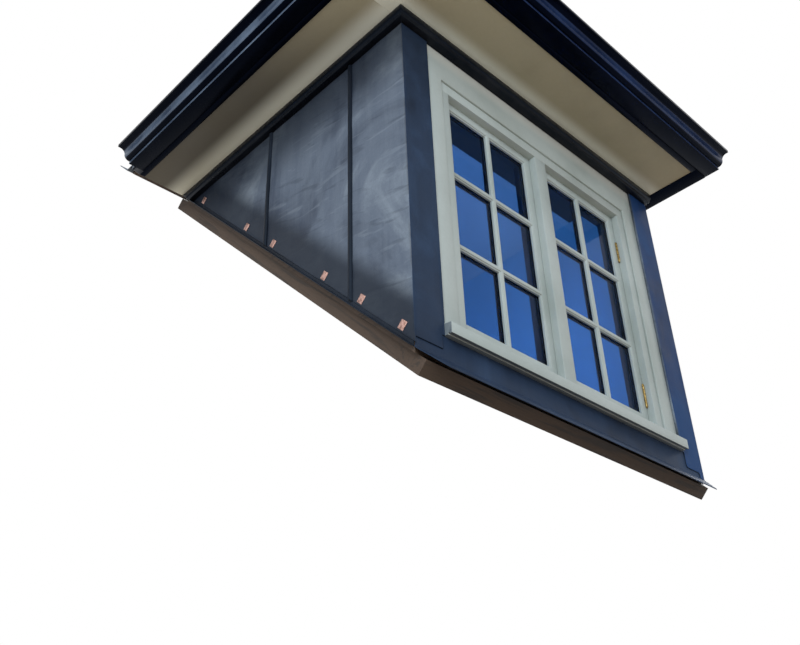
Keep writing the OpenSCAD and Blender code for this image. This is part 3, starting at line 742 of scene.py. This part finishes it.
def knuckle(mesh, x, middle):
    """Adds one hinge knuckle to a bmesh, at an x and a height."""
    y = SASH_FACE - 0.8 * KNUCKLE_RADIUS
    barrel = HINGE_LONG / BARRELS
    for index in range(BARRELS):
        foot = middle - HINGE_LONG / 2 + index * barrel + BARREL_GAP / 2
        ring = bmesh.ops.create_circle(mesh, cap_ends=True, segments=20, radius=KNUCKLE_RADIUS,
                                       matrix=Matrix.Translation((x, y, foot)))["verts"]
        disc = ring[0].link_faces[0]
        top = bmesh.ops.extrude_face_region(mesh, geom=[disc], use_keep_orig=True)["geom"]
        bmesh.ops.translate(mesh, verts=[v for v in top if isinstance(v, bmesh.types.BMVert)],
                            vec=(0.0, 0.0, barrel - BARREL_GAP))
    for end in (-1, 1):
        ball = Matrix.Translation((x, y, middle + end * (HINGE_LONG / 2 + 0.001)))
        bmesh.ops.create_uvsphere(mesh, u_segments=16, v_segments=10, radius=0.8 * KNUCKLE_RADIUS,
                                  matrix=ball)


hinges = bmesh.new()
for side in (-1, 1):
    for height in HINGE_HEIGHTS:
        knuckle(hinges, side * (JAMB_EDGE - 0.9 * KNUCKLE_RADIUS), height)
bmesh.ops.recalc_face_normals(hinges, faces=hinges.faces)
bmesh.ops.bevel(hinges, geom=sharp_edges(hinges, 60.0), offset=0.0004, offset_type="OFFSET", segments=2,
                profile=0.5, affect="EDGES", clamp_overlap=True, material=-1)
hand_over(hinges, "casement_hinges", brass)
print("hinges stand at x", round(JAMB_EDGE, 3), "and heights", HINGE_HEIGHTS)

# %% [markdown]
# The studio is a wide pale floor, well below the window because the camera looks up at it from
# below. Where the camera, a reflection or a view through glass meets them, the floor is pale and the
# world white. As lights they are softer: the floor throws up a warm light, and the world a cool one.

# %% Floor and world
def add_sight(tree):
    """A value that is 1 for the camera, a reflection and a view through glass, and otherwise 0."""
    paths = tree.nodes.new("ShaderNodeLightPath")
    either, any_of = tree.nodes.new("ShaderNodeMath"), tree.nodes.new("ShaderNodeMath")
    either.operation = any_of.operation = "MAXIMUM"
    tree.links.new(paths.outputs["Is Camera Ray"], either.inputs[0])
    tree.links.new(paths.outputs["Is Glossy Ray"], either.inputs[1])
    tree.links.new(either.outputs[0], any_of.inputs[0])
    tree.links.new(paths.outputs["Is Transmission Ray"], any_of.inputs[1])
    return any_of.outputs[0]


FLOOR_LEVEL, FLOOR_RADIUS = -1.6, 14.0
floor_mesh = bmesh.new()
bmesh.ops.create_circle(floor_mesh, cap_ends=True, segments=96, radius=FLOOR_RADIUS,
                        matrix=Matrix.Translation((0.0, 0.0, FLOOR_LEVEL)))
floor_data = bpy.data.meshes.new("studio_floor")
floor_mesh.to_mesh(floor_data)
floor_mesh.free()
floor = bpy.data.objects.new("studio_floor", floor_data)
bpy.context.scene.collection.objects.link(floor)
floor_paint, tree, shader = make_finish("studio_floor", 0.9)
tree.links.new(add_mix(tree, add_sight(tree), (0.42, 0.33, 0.24, 1.0), (0.82, 0.82, 0.82, 1.0)),
               shader.inputs["Base Color"])
floor_data.materials.append(floor_paint)

world = bpy.data.worlds.new("studio_world")
world.use_nodes = True
bpy.context.scene.world = world
tree = world.node_tree
seen, soft = tree.nodes["Background"], tree.nodes.new("ShaderNodeBackground")
seen.inputs["Color"].default_value = (1.0, 1.0, 1.0, 1.0)
seen.inputs["Strength"].default_value = 1.0
soft.inputs["Color"].default_value = (0.84, 0.92, 1.0, 1.0)
soft.inputs["Strength"].default_value = 0.70
switch = tree.nodes.new("ShaderNodeMixShader")
tree.links.new(add_sight(tree), switch.inputs["Fac"])
tree.links.new(soft.outputs[0], switch.inputs[1])
tree.links.new(seen.outputs[0], switch.inputs[2])
tree.links.new(switch.outputs[0], tree.nodes["World Output"].inputs["Surface"])
print("floor at", FLOOR_LEVEL, "m and world strength", soft.inputs["Strength"].default_value)

# %% [markdown]
# Big soft lamps do the rest. The main one stands in front and to the left and is a little cool, as
# the sky is, and two weaker ones fill from the left and the right. The last stands in the room behind
# the window and shines up at its ceiling, or else the glass would have nothing to show. It gives
# light but can't be seen itself.

# %% Lamps
def soft_lamp(name, place, target, size, power, colour=(1.0, 1.0, 1.0)):
    """A square area lamp at a place, aimed at a target."""
    data = bpy.data.lights.new(name, "AREA")
    data.shape, data.size, data.energy = "SQUARE", size, power
    data.color = colour
    lamp = bpy.data.objects.new(name, data)
    lamp.location = place
    lamp.rotation_euler = (Vector(target) - Vector(place)).to_track_quat("-Z", "Y").to_euler()
    bpy.context.scene.collection.objects.link(lamp)
    return lamp


soft_lamp("left_lamp", (-4.5, 1.5, 2.6), (0.0, 0.4, 0.8), 3.0, 25, (1.0, 0.96, 0.88))
soft_lamp("right_lamp", (4.5, 2.0, 2.6), (0.0, 0.4, 0.8), 3.0, 70)
soft_lamp("front_lamp", (-4.7, -3.4, 1.5), (0.0, 0.0, 0.7), 3.0, 195, (0.78, 0.90, 1.0))
room_lamp = soft_lamp("room_lamp", (-0.25, 0.50, 0.30), (0.42, 0.60, 1.2), 0.8, 10.5)
room_lamp.visible_camera = room_lamp.visible_glossy = room_lamp.visible_transmission = False

# %% [markdown]
# The camera stands where the photographer stood: low on the roof, in front and to the left, and
# looking up. Its heading, its tilt and a small roll give its three axes, and those columns are its
# rotation.

# %% Camera
HEADING, TILT, ROLL = math.radians(44.7473), math.radians(31.8014), math.radians(-1.96495)
ahead = Vector((math.sin(HEADING) * math.cos(TILT), math.cos(HEADING) * math.cos(TILT), math.sin(TILT)))
right = ahead.cross(Vector((0, 0, 1))).normalized()
up = right.cross(ahead)
right, up = (math.cos(ROLL) * right + math.sin(ROLL) * up, -math.sin(ROLL) * right + math.cos(ROLL) * up)
camera_data = bpy.data.cameras.new("camera")
camera_data.sensor_fit = "HORIZONTAL"
camera_data.sensor_width = 36.0
camera_data.lens = 41.333
camera_data.clip_start, camera_data.clip_end = 0.05, 100.0
camera = bpy.data.objects.new("camera", camera_data)
turn = Matrix((right, up, -ahead)).transposed().to_4x4()
camera.matrix_world = Matrix.Translation((-2.20583, -1.50771, -1.18459)) @ turn
bpy.context.scene.collection.objects.link(camera)
bpy.context.scene.camera = camera
bpy.context.scene.view_settings.view_transform = "Standard"
print("camera at", tuple(round(v, 3) for v in camera.location), "lens", camera_data.lens)
